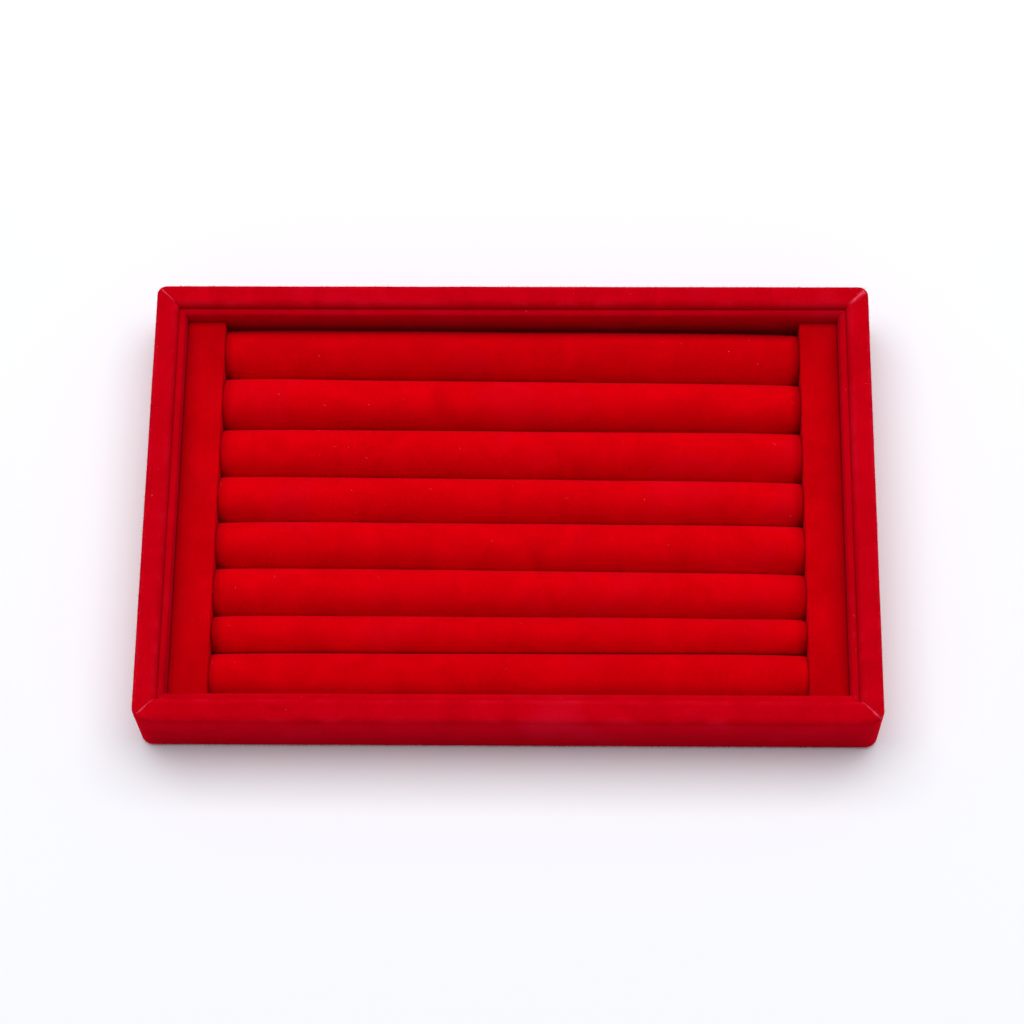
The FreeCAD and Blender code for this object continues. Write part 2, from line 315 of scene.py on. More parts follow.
def red_velvet(name, deep, clear, stroked, painted_shade_tone, sheen):
    """Short-pile polyester velvet, with tufts a little coarser than real ones, so that they show."""
    material, tree, output = new_material(name)
    place = add_node(tree, "TexCoord", {}, {}).outputs["Object"]
    colour, strands, nap = pile_tones(tree, place, deep, clear)

    # How far the nap is stroked against its lie, and how much paler the pile is at the rim's turns: partly
    # wear, partly painted highlight
    lean = add_node(tree, "TexNoise", {"Scale": per_metre(LEAN_PATCH_MM), "Detail": 2.0}, {"Vector": place})
    against = add_node(tree, "MapRange", {"From Min": 0.58, "From Max": 0.72, "To Max": 0.4},
                       {"Value": lean.outputs["Fac"]})
    edge, flat, seam = (add_node(tree, "Attribute", {"attribute_name": marked}, {}).outputs["Fac"]
                        for marked in ("edge", "flat", "seam"))
    rub = add_node(tree, "MapRange", {"From Min": 0.45, "From Max": 0.7, "To Max": 0.5}, {"Value": nap})
    worn_and_lit = add_node(tree, "Math", {"operation": "MULTIPLY"}, {0: edge, 1: rub.outputs["Result"]})

    # The share marked flat mixes in the deeper tone as painted shade where shade falls on the cloth, and on
    # some rolls all over
    for tint, share in ((stroked, against.outputs["Result"]), (painted_shade_tone, flat),
                        (WORN_AND_LIT_PILE, worn_and_lit.outputs["Value"]), (CUT_BACKING, seam),
                        (LINT, lint_specks(tree, place))):
        layer = add_node(tree, "Mix", {"data_type": "RGBA", MIX_SECOND: linear(tint)},
                         {MIX_FACTOR: share, MIX_FIRST: colour})
        colour = layer.outputs[MIX_RESULT]
    relief = add_node(tree, "Bump", {"Strength": 0.4, "Distance": PILE_DEPTH_MM * MM}, {"Height": strands})
    cloth = add_node(tree, "BsdfPrincipled",
                     {"Roughness": 0.9, "IOR": 1.5, "Specular IOR Level": 0.0,
                      "Subsurface Weight": 0.7, "Subsurface Radius": (1.0, 0.3, 0.3),
                      "Subsurface Scale": PILE_GLOW_MM * MM,
                      "Sheen Weight": sheen, "Sheen Roughness": 0.3, "Sheen Tint": linear("#FF2848")},
                     {"Base Color": colour, "Normal": relief.outputs["Normal"]})
    tree.links.new(cloth.outputs["BSDF"], output.inputs["Surface"])
    return material


# The rim and the liner are a cooler red than the pad, and on the bars the pile leans the other way
# The last colour of each is the deeper tone that is mixed in as painted shade
RIM_VELVET = red_velvet("cool_red_velvet", "#BC0010", "#CD0015", "#D0102A", "#84000C", 0.3)
BAR_VELVET = red_velvet("warm_red_velvet_across", "#C00009", "#D2000C", "#CA0412", "#8C0007", 0.2)
ROLL_VELVET = red_velvet("warm_red_velvet", "#CC0009", "#DE000C", "#D8041A", "#8E0007", 0.5)
print("made", [material.name for material in (RIM_VELVET, BAR_VELVET, ROLL_VELVET)])

# %% [markdown]
# ## Rail wraps
# Each rail is covered with one strip of velvet: turned under the rail as a hem, up the outer face, over
# the rim and down the inside. The strips meet in mitres at the corners. A box with bevels would look
# machined, so the strip is a profile of straight legs and round turns that is carried along the side and
# cut at the mitres, with fine steps near the cut where the cloth dips into the seam.

# %% A profile of legs and turns
def rounded_path(corners, radii, leg_steps, turn_steps):
    """Points along straight legs joined by quarter turns, and how near each is to the middle of a turn."""
    corners = [np.array(corner, float) for corner in corners]
    points, turns = [], []
    start = corners[0]
    for place, steps in enumerate(leg_steps):
        ahead = corners[place + 1] - corners[place]
        ahead /= np.linalg.norm(ahead)
        is_last = place == len(leg_steps) - 1
        radius = 0 if is_last else radii[place]
        end = corners[place + 1] - ahead * radius
        for step in range(steps):
            points.append(start + (end - start) * step / steps)
            turns.append(0.0)
        if is_last:
            points.append(end)
            turns.append(0.0)
            break
        beyond = corners[place + 2] - corners[place + 1]
        beyond /= np.linalg.norm(beyond)
        centre = end + beyond * radius
        for step in range(turn_steps):
            angle = math.pi / 2 * step / turn_steps
            points.append(centre - beyond * radius * math.cos(angle) + ahead * radius * math.sin(angle))
            turns.append(math.sin(2 * angle))
        start = corners[place + 1] + beyond * radius
    return np.array(points), np.array(turns)


print("profile helper ready")

# %% A side of the tray, to carry a profile along
# Which way each side runs, which way it faces inwards, and the corners that it runs between
SIDES = {
    "front": ((1, 0), (0, 1)),
    "right": ((0, 1), (-1, 0)),
    "back": ((-1, 0), (0, -1)),
    "left": ((0, -1), (1, 0)),
}
CORNERS_OF_SIDES = {
    "front": ("front_left", "front_right"),
    "right": ("front_right", "back_right"),
    "back": ("back_right", "back_left"),
    "left": ("back_left", "front_left"),
}
# The two front corners are rounder than the two at the back
CORNER_RADII = {"front_left": 3.9, "front_right": 3.9, "back_right": 3.0, "back_left": 3.0}
MITRE_STEPS = (0, 0.12, 0.25, 0.42, 0.7, 1.1, 1.7, 2.6, 4.0)
ALONG_STEP = 1.6
HAIR = 1e-6


def half_length_of(side):
    """Half the length of a side of the tray."""
    return abs(np.array(SIDES[side][0])) @ TRAY_HALF


def row_count(side):
    """How many profiles a side is made of."""
    return round(2 * half_length_of(side) / ALONG_STEP) + 2 * (len(MITRE_STEPS) - 1)


def along_a_side(side, depth):
    """Places along a side from mitre to mitre, how far each is from its mitre, and its corner's radius."""
    half_length = half_length_of(side)
    steps = np.array(MITRE_STEPS[:-1])
    count = row_count(side) - 2 * len(steps)
    middle = np.linspace(MITRE_STEPS[-1], 2 * half_length - MITRE_STEPS[-1], count)
    shares = np.concatenate([steps, middle, 2 * half_length - steps[::-1]]) / half_length - 1
    first, last = (CORNER_RADII[corner] for corner in CORNERS_OF_SIDES[side])
    radius = np.where(shares < 0, first, last)
    reach = half_length - np.maximum(radius, depth) + np.maximum(radius - depth, 0) * math.pi / 4
    places = shares * reach
    return places, reach - np.abs(places), radius


def carried(side, profiles):
    """A grid of points: profiles of depth and height carried along a side to the mitres at its corners."""
    along, inward = (np.array(way, float) for way in SIDES[side])
    half_length = half_length_of(side)
    half_across = abs(inward) @ TRAY_HALF
    columns, gaps = [], []
    for column in range(profiles.shape[1]):
        depth = profiles[:, column, 0]
        places, gap, corner = along_a_side(side, depth)
        straight = half_length - np.maximum(corner, depth)
        past = np.maximum(np.abs(places) - straight, 0)
        radius = np.maximum(corner - depth, HAIR)
        angle = np.where(depth < corner, past / radius, 0)
        run = np.where(past > 0, straight + radius * np.sin(angle), np.abs(places)) * np.sign(places)
        sink = np.where(past > 0, corner - radius * np.cos(angle), depth)
        plan = np.outer(run, along) + np.outer(sink - half_across, inward)
        columns.append(np.column_stack([plan, profiles[:, column, 1]]))
        gaps.append(gap)
    return np.stack(columns, axis=1), np.stack(gaps, axis=1)


print("rows on the front", row_count("front"), "and on a short side", row_count("left"))

# %% The profile of a rail wrap
OUTER_EDGE, INNER_EDGE, HEM_EDGE = 1.4, 2.2, 1.2
HEM_PLAY = 0.2
RAIL_LEG_STEPS, RAIL_TURN_STEPS = (3, 16, 6, 14), 6


def rail_profile(skin, top_edge):
    """Depth and height along the strip's cut from its hem to its inner foot, a skin below its face."""
    hem_end = BOARD_EDGE_DEPTH - HEM_PLAY
    outer, inner = skin, LINER_DEPTH - skin
    top, bottom = RIM_TOP - skin, HEM_BOTTOM + skin
    corners = [(hem_end, bottom), (outer, bottom), (outer, top), (inner, top), (inner, BOARD_TOP)]
    radii = [edge - skin for edge in (HEM_EDGE, top_edge, INNER_EDGE)]
    return rounded_path(corners, radii, RAIL_LEG_STEPS, RAIL_TURN_STEPS)


print("rail profile of", len(rail_profile(0, OUTER_EDGE)[0]), "points")

# %% Frayed mitres and painted shade on the faces
SEAM_FRAY_SIZE, SEAM_FRAY_SEED = 1.3, 8.4
# At the mitres at both ends of a side: how wide the cut backing shows outside and inside, how much of the
# mitre shows it, and how strongly. At the back right the strip is frayed.
SEAM_SHOWS = {
    "front": ((0.16, 0.20, 1.0, 0.8), (0.24, 0.14, 1.0, 1.0)),
    "right": ((0.24, 0.14, 1.0, 1.0), (1.3, 0.16, 0.9, 0.9)),
    "back": ((0.26, 0.16, 0.9, 0.9), (0.18, 0.16, 0.8, 0.9)),
    "left": ((0.16, 0.16, 0.8, 0.8), (0.16, 0.20, 1.0, 0.8)),
}
SEAM_END_SHARE = 0.2
# Painted shade on the outer faces, darker towards the hem: how much deeper tone is mixed in under the rim
# and at the hem, on the long sides, then on the short sides and near all corners. Then how far from the
# corners each side's own shade takes over, and how far below the rim it fades in.
LONG_SIDE_SHADE_SHARES, SHORT_SIDE_SHADE_SHARES = (0.08, 0.48), (0.0, 0.1)
CORNER_SHADE_REACH, FACE_SHADE_START = 4.0, 4.0


def seam_show(side, outside, gap, depth):
    """How much of the pale cut backing shows at each point, uneven along the mitres of a side."""
    share = np.clip(depth / LINER_DEPTH, 0, 1)
    fray = 1 + ripple(outside, SEAM_FRAY_SIZE, SEAM_FRAY_SEED)
    show = np.zeros(gap.shape)
    halves = np.array_split(np.arange(len(gap)), 2)
    for (outer, inner, reach, strength), rows in zip(SEAM_SHOWS[side], halves):
        width = np.maximum((outer + (inner - outer) * share[rows]) * fray[rows], HAIR)
        shown = np.clip((reach - share[rows]) / SEAM_END_SHARE, 0, 1)
        show[rows] = strength * fading(gap[rows], width) * shown
    return show


def face_painted_shade(side, height, to_mitre):
    """Painted shade on the outer face of a side, by its height and its distance from a mitre."""
    height_share = (height - HEM_BOTTOM) / (RIM_TOP - HEM_BOTTOM)
    from_corner = 1 - fading(to_mitre, CORNER_SHADE_REACH)[:, None]
    face_shares = LONG_SIDE_SHADE_SHARES if side in ("front", "back") else SHORT_SIDE_SHADE_SHARES
    under_rim, at_hem = (corner + (full - corner) * from_corner
                         for corner, full in zip(SHORT_SIDE_SHADE_SHARES, face_shares))
    press_and_shade_share = at_hem + (under_rim - at_hem) * height_share
    return press_and_shade_share * np.clip((RIM_TOP - height) / FACE_SHADE_START, 0, 1)


print("marks for", len(SEAM_SHOWS), "sides ready")

# %% Four rail wraps
# Hands take the tray by its front, so the top edge is rounder there, except near the corners
TOP_EDGES = {"front": 2.2}
TOP_EDGE_REACH = 5.0
# The cloth there is also a little slack and stands out, most at the edge itself
TOP_SWELLS = {"front": 0.8}
SWELL_DEPTH, SWELL_HEIGHT = 3.0, 10.0
RAIL_RIPPLE, RAIL_RIPPLE_SIZE, RAIL_RIPPLE_SEED = 0.06, 24.0, 3.1
SEAM_DIP, SEAM_WIDTH = 0.22, 0.35
RAIL_TOP_START = sum(RAIL_LEG_STEPS[:2]) + 2 * RAIL_TURN_STEPS
RAIL_TOP_COLUMNS = slice(RAIL_TOP_START, RAIL_TOP_START + RAIL_LEG_STEPS[2])
rail_outsides = {}
# Grids of points where lint can lie
lint_beds = []


def rail_wrap(side):
    """The velvet strip over one rail."""
    _, to_mitre, _ = along_a_side(side, np.zeros(row_count(side)))
    loose = 1 - fading(to_mitre, TOP_EDGE_REACH)
    top_edges = OUTER_EDGE + (TOP_EDGES.get(side, OUTER_EDGE) - OUTER_EDGE) * loose
    outer_paths = np.stack([rail_profile(0, edge)[0] for edge in top_edges])
    inner_paths = np.stack([rail_profile(CLOTH, edge)[0] for edge in top_edges])
    turns = rail_profile(0, OUTER_EDGE)[1]
    depth, height = outer_paths[..., 0].copy(), outer_paths[..., 1]
    swell = fading(depth, SWELL_DEPTH) * fading(RIM_TOP - height, SWELL_HEIGHT)
    outer_paths[..., 0] -= TOP_SWELLS.get(side, 0) * loose[:, None] * swell
    outside, gap = carried(side, outer_paths)
    inside, _ = carried(side, inner_paths)
    outward = outside - inside
    outward /= np.linalg.norm(outward, axis=2, keepdims=True)
    shown = (height > LEDGE_TOP) | (depth < OUTER_EDGE)
    on_rim = np.clip((height - LEDGE_TOP) / (RIM_TOP - LEDGE_TOP), 0, 1) * (depth > OUTER_EDGE / 2)
    waves = ripple(outside, RAIL_RIPPLE_SIZE, RAIL_RIPPLE_SEED)
    lift = RAIL_RIPPLE * waves * shown * np.clip(gap, 0, 1) - SEAM_DIP * on_rim * fading(gap, SEAM_WIDTH)
    outside = outside + outward * lift[..., None]
    mesh = cloth_mesh(side + "_rail_wrap", outside, inside)
    # Paler pile at the turns above the ledge: partly wear, partly painted highlight
    mark(mesh, "edge", turns * (height > LEDGE_TOP))
    mark(mesh, "seam", seam_show(side, outside, gap, depth) * on_rim)
    # Painted shade on the outer faces, darker towards the hem
    mark(mesh, "flat", face_painted_shade(side, height, to_mitre) * (depth < OUTER_EDGE))
    piece = add_piece(side + "_rail_wrap", mesh, RIM_VELVET, "tray", "red_velvet", side + "_rail_velvet")
    width = np.linalg.norm(np.diff(outer_paths[0], axis=0), axis=1).sum()
    length = 2 * half_length_of(side)
    rail_outsides[side] = (outside, outward, turns * (depth[0] < OUTER_EDGE))
    lint_beds.append(outside[:, RAIL_TOP_COLUMNS])
    return piece, width, length


for side in SIDES:
    wrap, wrap_width, wrap_length = rail_wrap(side)
    print(wrap.name, "cut", round(wrap_width, 1), "x", round(wrap_length, 1), "mm")

# %% [markdown]
# ## Liner wraps
# The liner is a strip of thin card, folded into velvet, that stands against the inside of the rails. Only
# its top shows, as a soft ledge. Where the pad's bars press on it the ledge is rounder and narrower, so
# the turn of its profile changes along the side.

# %% Four liner wraps
LINER_EDGE = 0.95
LINER_FOLD = 0.4
LINER_PRESSED_EDGE = 1.9
LINER_RISE = 0.2
LINER_RIPPLE = 0.07
LINER_RIPPLE_SIZE = 20.0
LINER_LEG_STEPS, LINER_TURN_STEPS = (6, 3, 12), 7
LEDGE_START = LINER_LEG_STEPS[0] + LINER_TURN_STEPS
LEDGE_COLUMNS = slice(LEDGE_START, LEDGE_START + LINER_LEG_STEPS[1])
LINER_PLAY = 0.05
THREAD = 0.05
# How round the edge is pressed at each corner, and how far that reaches along a side from both ends
LINER_PRESSED_SHARES = {"front_left": 0.9, "front_right": 0.1, "back_right": 0.8, "back_left": 0.5}
LINER_PRESSED_REACH = {"front": (14.0, 6.0), "right": (6.0, 6.0), "back": (34.0, 16.0), "left": (6.0, 22.0)}
LINER_SLACK = {"front": 0.15, "right": 0.05, "back": 0.2, "left": 0.1}
# Painted shade on the ledge and on the wall below it, and more where the bars press the edge round
LINER_SHADE_SHARES = {"front": (0.0, 0.3), "right": (0.12, 0.3), "back": (0.28, 0.0), "left": (0.1, 0.3)}
LINER_PRESSED_SHADE_SHARE = 0.2
LINER_SLACK_SEED, LINER_RIPPLE_SEED = 5.2, 7.7


def liner_profile(inner_edge, slack, skin):
    """Depth and height up the liner's outer face, over the ledge and down, a skin below its face."""
    outer, inner = LINER_DEPTH + LINER_PLAY + skin, WELL_DEPTH - skin - slack
    top = LEDGE_TOP - skin
    corners = [(outer, BOARD_TOP), (outer, top), (inner, top), (inner, BOARD_TOP)]
    radii = [max(LINER_FOLD - skin, THREAD), inner_edge]
    return rounded_path(corners, radii, LINER_LEG_STEPS, LINER_TURN_STEPS)[0]


def liner_wrap(side):
    """The velvet over one liner card."""
    rows = row_count(side)
    places, _, _ = along_a_side(side, np.full(rows, LINER_DEPTH))
    reach = half_length_of(side) - LINER_DEPTH
    press_and_shade_share = np.zeros(rows)
    for corner, distance, fade in zip(CORNERS_OF_SIDES[side], (places + reach, reach - places),
                                      LINER_PRESSED_REACH[side]):
        press_and_shade_share += LINER_PRESSED_SHARES[corner] * fading(distance, fade)
    edges = LINER_EDGE + (LINER_PRESSED_EDGE - LINER_EDGE) * np.minimum(press_and_shade_share, 1)
    line = np.outer(places, np.array([*SIDES[side][0], 0]))
    wander = (1 - ripple(line, LINER_RIPPLE_SIZE, LINER_SLACK_SEED)) / 2
    wander *= np.clip((reach - abs(places)) / LINER_RIPPLE_SIZE, 0, 1)
    slack = LINER_SLACK[side] * wander
    outside, gap = carried(side, np.stack([liner_profile(*shape, 0) for shape in zip(edges, slack)]))
    inside, _ = carried(side, np.repeat(liner_profile(LINER_EDGE - CLOTH, 0, CLOTH)[None], rows, axis=0))
    below = np.clip((LEDGE_TOP - outside[..., 2]) / LINER_EDGE, 0, 1)
    waves = ripple(outside, LINER_RIPPLE_SIZE, LINER_RIPPLE_SEED)
    outside[..., 2] += (LINER_RISE + LINER_RIPPLE * (waves - 1) * np.clip(gap, 0, 1)) * (1 - below)
    lint_beds.append(outside[:, LEDGE_COLUMNS])
    mesh = cloth_mesh(side + "_liner_wrap", outside, inside)
    # Painted shade on the ledge and on the wall below it, and near the pressed corners
    ledge, wall = LINER_SHADE_SHARES[side]
    mark(mesh, "flat", ledge + (wall - ledge) * below + LINER_PRESSED_SHADE_SHARE * press_and_shade_share[:, None])
    piece = add_piece(side + "_liner_wrap", mesh, RIM_VELVET, "tray", "red_velvet", side + "_liner_velvet")
    width = np.linalg.norm(np.diff(liner_profile(LINER_EDGE, 0, 0), axis=0), axis=1).sum()
    return piece, width, 2 * reach


for side in SIDES:
    wrap, wrap_width, wrap_length = liner_wrap(side)
    print(wrap.name, "cut", round(wrap_width, 1), "x", round(wrap_length, 1), "mm")

# %% [markdown]
# ## Bars
# A bar is a strip of fibreboard with velvet over its top, sides and ends. Its wrap is a box without a
# bottom. The points of a plain box grid are pulled onto rounded edges: each is drawn to its nearest place
# on a smaller inner box, and pushed out again by the edge's radius. Both long edges are crisp, and the
# ends are rounder.

# %% A box without a bottom, with rounded edges
BAR_STEP = 1.8
EDGE_STEPS = 5


def edge_spaced(low, high, low_radius, high_radius):
    """Places from low to high, close together where the edges at both ends are rounded."""
    angles = np.linspace(0, math.pi / 4, EDGE_STEPS + 1)[1:]
    count = max(round((high - low - low_radius - high_radius) / BAR_STEP), 1)
    middle = np.linspace(low + low_radius, high - high_radius, count + 1)
    low_steps = low + low_radius - low_radius * np.tan(angles)[::-1]
    high_steps = high - high_radius + high_radius * np.tan(angles)
    return np.concatenate([low_steps, middle, high_steps])


def open_box(xs, ys, zs):
    """Points and faces of a box without a bottom, from places along each axis, and its foot's points."""
    last_x, last_y, last_z = len(xs) - 1, len(ys) - 1, len(zs) - 1
    quads = []
    for i in range(last_x):
        for j in range(last_y):
            quads.append(((i, j, last_z), (i + 1, j, last_z), (i + 1, j + 1, last_z), (i, j + 1, last_z)))
    for k in range(last_z):
        for i in range(last_x):
            for j in (0, last_y):
                quads.append(((i, j, k), (i + 1, j, k), (i + 1, j, k + 1), (i, j, k + 1)))
        for j in range(last_y):
            for i in (0, last_x):
                quads.append(((i, j, k), (i, j + 1, k), (i, j + 1, k + 1), (i, j, k + 1)))
    numbers = {}
    faces = [[numbers.setdefault(corner, len(numbers)) for corner in quad] for quad in quads]
    points = np.array([(xs[i], ys[j], zs[k]) for i, j, k in numbers])
    foot = {number for (i, j, k), number in numbers.items() if k == 0}
    return points, faces, foot


def softened(points, low, high, low_radii, high_radii):
    """Pulls the points of a box onto rounded edges, except at its foot."""
    core = np.clip(points, low + low_radii, high - high_radii)
    push = points - core
    radii = np.where(push < 0, low_radii, high_radii)
    stretch = np.linalg.norm(push / np.maximum(radii, THREAD), axis=1, keepdims=True)
    return core + push / np.maximum(stretch, 1)


def box_cloth(name, outside, inside, faces, foot):
    """A closed sheet of cloth over a box without a bottom, from its outer and its inner points."""
    layer = len(outside)
    all_faces = faces + [[corner + layer for corner in face[::-1]] for face in faces]
    for face in faces:
        for here, there in zip(face, face[1:] + face[:1]):
            if here in foot and there in foot:
                all_faces.append([there, here, here + layer, there + layer])
    return skinned(name, np.concatenate([outside, inside]), all_faces)


print("edges in", EDGE_STEPS, "steps")

# %% Two bar wraps
BAR_EDGE, BAR_END_EDGE = 0.6, 1.7
BAR_PILE = 0.25
BAR_RIPPLE = 0.05
BAR_RIPPLE_SIZE = 9.0
BAR_RIPPLE_SEED = 11.3
# Painted shade on a bar beside the liner's ledge and at its ends under the rims, and how far in from its
# outer edge and its ends it reaches
BAR_SHADE_SHARE, BAR_END_SHADE_SHARE = 0.5, 0.32
BAR_SHADE_REACH, BAR_END_SHADE_REACH = 4.4, 16.0


def bar_wrap(end, direction):
    """The velvet over one bar, with the tips of its pile standing out towards the liner."""
    node = end + "_bar_velvet"
    low, high = corners_mm(node)
    inner_low = direction > 0
    low -= np.array([0 if inner_low else BAR_PILE, BAR_PILE, 0])
    high += np.array([BAR_PILE if inner_low else 0, BAR_PILE, 0])
    low_radii = np.array([BAR_EDGE, BAR_END_EDGE, 0])
    high_radii = np.array([BAR_EDGE, BAR_END_EDGE, BAR_EDGE])
    xs, ys, zs = (edge_spaced(*limits) for limits in zip(low, high, low_radii, high_radii))
    points, faces, foot = open_box(xs, ys, zs[EDGE_STEPS:])
    outside = softened(points, low, high, low_radii, high_radii)
    middle = np.array([*(low + high)[:2] / 2, low[2]])
    shrink = 1 - CLOTH / np.array([*(high - low)[:2] / 2, high[2] - low[2]])
    inside = middle + (outside - middle) * shrink
    height_share = (outside[:, 2] - low[2]) / (high[2] - low[2])
    outside[:, 2] += BAR_RIPPLE * (ripple(outside, BAR_RIPPLE_SIZE, BAR_RIPPLE_SEED) - 1) * height_share
    mesh = box_cloth(end + "_bar_wrap", outside, inside, faces, foot)
    from_outer = high[0] - outside[:, 0] if inner_low else outside[:, 0] - low[0]
    from_end = np.minimum(outside[:, 1] - low[1], high[1] - outside[:, 1])
    # Painted shade beside the liner's ledge and at the ends under the rims
    brushed = BAR_SHADE_SHARE * fading(from_outer, BAR_SHADE_REACH)
    mark(mesh, "flat", np.maximum(brushed, BAR_END_SHADE_SHARE * fading(from_end, BAR_END_SHADE_REACH)))
    piece = add_piece(end + "_bar_wrap", mesh, BAR_VELVET, "ring_pad", "red_velvet", node)
    size = high - low
    flat = (size[0] + 2 * size[2], size[1] + 2 * size[2])
    return piece, flat


BAR_ENDS = (("left", -1), ("right", 1))
for end, direction in BAR_ENDS:
    wrap, flat = bar_wrap(end, direction)
    print(wrap.name, "cut", [round(value, 1) for value in flat], "mm")

# %% [markdown]
# ## Stuffed rolls
# A roll is a strip of foam in a sleeve of velvet, flat where it is glued to the card, round on top and a
# little lower at both ends, where the bars hold it. They are made by hand, so no two are alike. Rings of
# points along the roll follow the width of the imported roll, a little slack at first, and slow noise gives
# the lumps of hand stuffing.

# %% The outline of a roll
CLOSE = 0.01
ROLL_CROWN_SHARE = 0.9
ROLL_FOOT_SHARE = 0.3
CROWN_STEPS, FOOT_TURN_STEPS, FLANK_STEPS, SOLE_STEPS = 26, 4, 3, 6


def roll_frame(number):
    """Where a packed roll ends, its front and back edges at both ends, its foot and its crest."""
    vertices = frame["nodes"]["roll_%d_sleeve" % number].data.vertices
    points = np.array([vertex.co for vertex in vertices]) / MM
    foot, crest = points[:, 2].min(), points[:, 2].max()
    full = abs(points[points[:, 2] > crest - CLOSE, 0]).max()
    left = points[abs(points[:, 0] + full) < CLOSE, 1]
    right = points[abs(points[:, 0] - full) < CLOSE, 1]
    edges = ((left.min(), left.max()), (right.min(), right.max()))
    return points[:, 0].max(), full, edges, foot, crest


def roll_ring(half_width, height):
    """Places across a roll and heights: its sole, round foot corners, flanks and oval crown."""
    crown = min(ROLL_CROWN_SHARE * half_width, height)
    spring = height - crown
    turn = ROLL_FOOT_SHARE * half_width
    half_sole = half_width - turn
    ring = [(-half_width + turn + 2 * half_sole * step / SOLE_STEPS, 0) for step in range(SOLE_STEPS)]
    for step in range(FOOT_TURN_STEPS):
        angle = math.pi / 2 * step / FOOT_TURN_STEPS
        ring.append((half_width - turn + turn * math.sin(angle), turn - turn * math.cos(angle)))
    ring += [(half_width, turn + (spring - turn) * step / FLANK_STEPS) for step in range(FLANK_STEPS)]
    for step in range(CROWN_STEPS):
        angle = math.pi * step / CROWN_STEPS
        ring.append((half_width * math.cos(angle), spring + crown * math.sin(angle)))
    ring += [(-half_width, spring - (spring - turn) * step / FLANK_STEPS) for step in range(FLANK_STEPS)]
    for step in range(FOOT_TURN_STEPS):
        angle = math.pi / 2 * step / FOOT_TURN_STEPS
        ring.append((-half_width + turn - turn * math.cos(angle), turn - turn * math.sin(angle)))
    return np.array(ring)


ROLL_COUNT = sum(name.endswith("_sleeve") for name in frame["nodes"])
print(ROLL_COUNT, "rolls, the first up to", round(roll_frame(1)[0], 1), "mm from the middle")

# %% Rings of points along a roll
ROLL_RING_STEP = 1.5
ROLL_END_ROUND = 1.8
ROLL_END_TUCK = 0.1
ROLL_END_DROP = 1.0
ROLL_END_REACH = 0.1
ROLL_END_STEPS = (0, 0.06, 0.16, 0.32, 0.6, 1.1, 1.8, 2.8)
ROLL_BODY_START = 4.0
ROLL_SLACK = 0.3
ROLL_LUMP = 0.16
ROLL_LUMP_SIZE = 26.0
ROLL_LUMP_LEVEL = 0.6
ROLL_LUMP_SEED = 17.0
# How far the middle of a roll swells back beyond its ends, by the roll's number
ROLL_SWELLS = {1: 0.4, 5: 0.1, 6: 0.35, 7: 0.55}
# How far a roll's near side is drawn in at its left and its right end, and how far along that reaches
ROLL_POCKETS = (0.3, 0.7)
ROLL_POCKET_REACH = 7.0


def roll_rings(number, slack):
    """Rings of points along one roll, drawn in everywhere by some slack."""
    tip, full, edges, foot, crest = roll_frame(number)
    tip += ROLL_END_REACH
    body_count = round(2 * (tip - ROLL_BODY_START) / ROLL_RING_STEP)
    body = np.linspace(-tip + ROLL_BODY_START, tip - ROLL_BODY_START, body_count)
    ends = np.array(ROLL_END_STEPS)
    rings = []
    for x in np.concatenate([-tip + ends, body, tip - ends[::-1]]):
        share = (x + full) / (2 * full)
        front, back = (edges[0][side] + (edges[1][side] - edges[0][side]) * share for side in (0, 1))
        into = min((tip - abs(x)) / ROLL_END_ROUND, 1)
        rounding = 1 - math.sqrt(1 - (1 - into) ** 2)
        half_width = (back - front) / 2 - ROLL_END_TUCK * rounding - slack
        height = crest - foot - ROLL_END_DROP * rounding - slack
        ring = roll_ring(half_width, height)
        near_share = np.clip(-ring[:, 0] / half_width, 0, 1) * ring[:, 1] / height
        far_share = np.clip(ring[:, 0] / half_width, 0, 1) * ring[:, 1] / height
        ring[:, 0] += ROLL_SWELLS.get(number, 0) * (1 - (x / tip) ** 2) * far_share
        ring[:, 0] += ROLL_POCKETS[int(x > 0)] * fading(tip - abs(x), ROLL_POCKET_REACH) * near_share
        across = (front + back) / 2 + ring[:, 0]
        rings.append(np.column_stack([np.full(len(ring), x), across, foot + ring[:, 1]]))
    rings = np.stack(rings)
    outward = rings - rings.mean(axis=1, keepdims=True)
    outward /= np.linalg.norm(outward, axis=2, keepdims=True)
    lumps = ripple(rings, ROLL_LUMP_SIZE, ROLL_LUMP_SEED + number) - ROLL_LUMP_LEVEL
    lifted = np.clip((rings[..., 2] - foot) / (crest - foot), 0, 1)
    rings[..., 1:] += outward[..., 1:] * (ROLL_LUMP * lumps * lifted)[..., None]
    return rings


slack_rings = {number: roll_rings(number, ROLL_SLACK) for number in range(1, ROLL_COUNT + 1)}
print("rings along a roll", len(slack_rings[1]))

# %% Slack sleeves for eight rolls
CAP_SHARES = (0.82, 0.6, 0.35, 0.12)
CAP_DISH = 0.3


def band_faces(first, second, around):
    """The faces between two closed rings of points, from the number of each ring's first point."""
    steps = [(column, (column + 1) % around) for column in range(around)]
    return [[first + here, first + after, second + after, second + here] for here, after in steps]


def roll_mesh(number, rings):
    """A closed sleeve over rings of points, with dished caps at both ends."""
    around = rings.shape[1]
    points = [rings.reshape(-1, 3)]
    faces = []
    for row in range(len(rings) - 1):
        faces += band_faces(row * around, (row + 1) * around, around)
    count = len(rings) * around
    for row, direction in ((0, 1), (len(rings) - 1, -1)):
        previous = row * around
        hub = rings[row].mean(axis=0)
        for share in CAP_SHARES:
            ring = hub + (rings[row] - hub) * share
            ring[:, 0] += direction * CAP_DISH * (1 - share)
            points.append(ring)
            faces += band_faces(previous, count, around)
            previous = count
            count += around
        faces.append(list(range(previous, previous + around)))
    return skinned("roll_%d" % number, np.concatenate(points), faces)


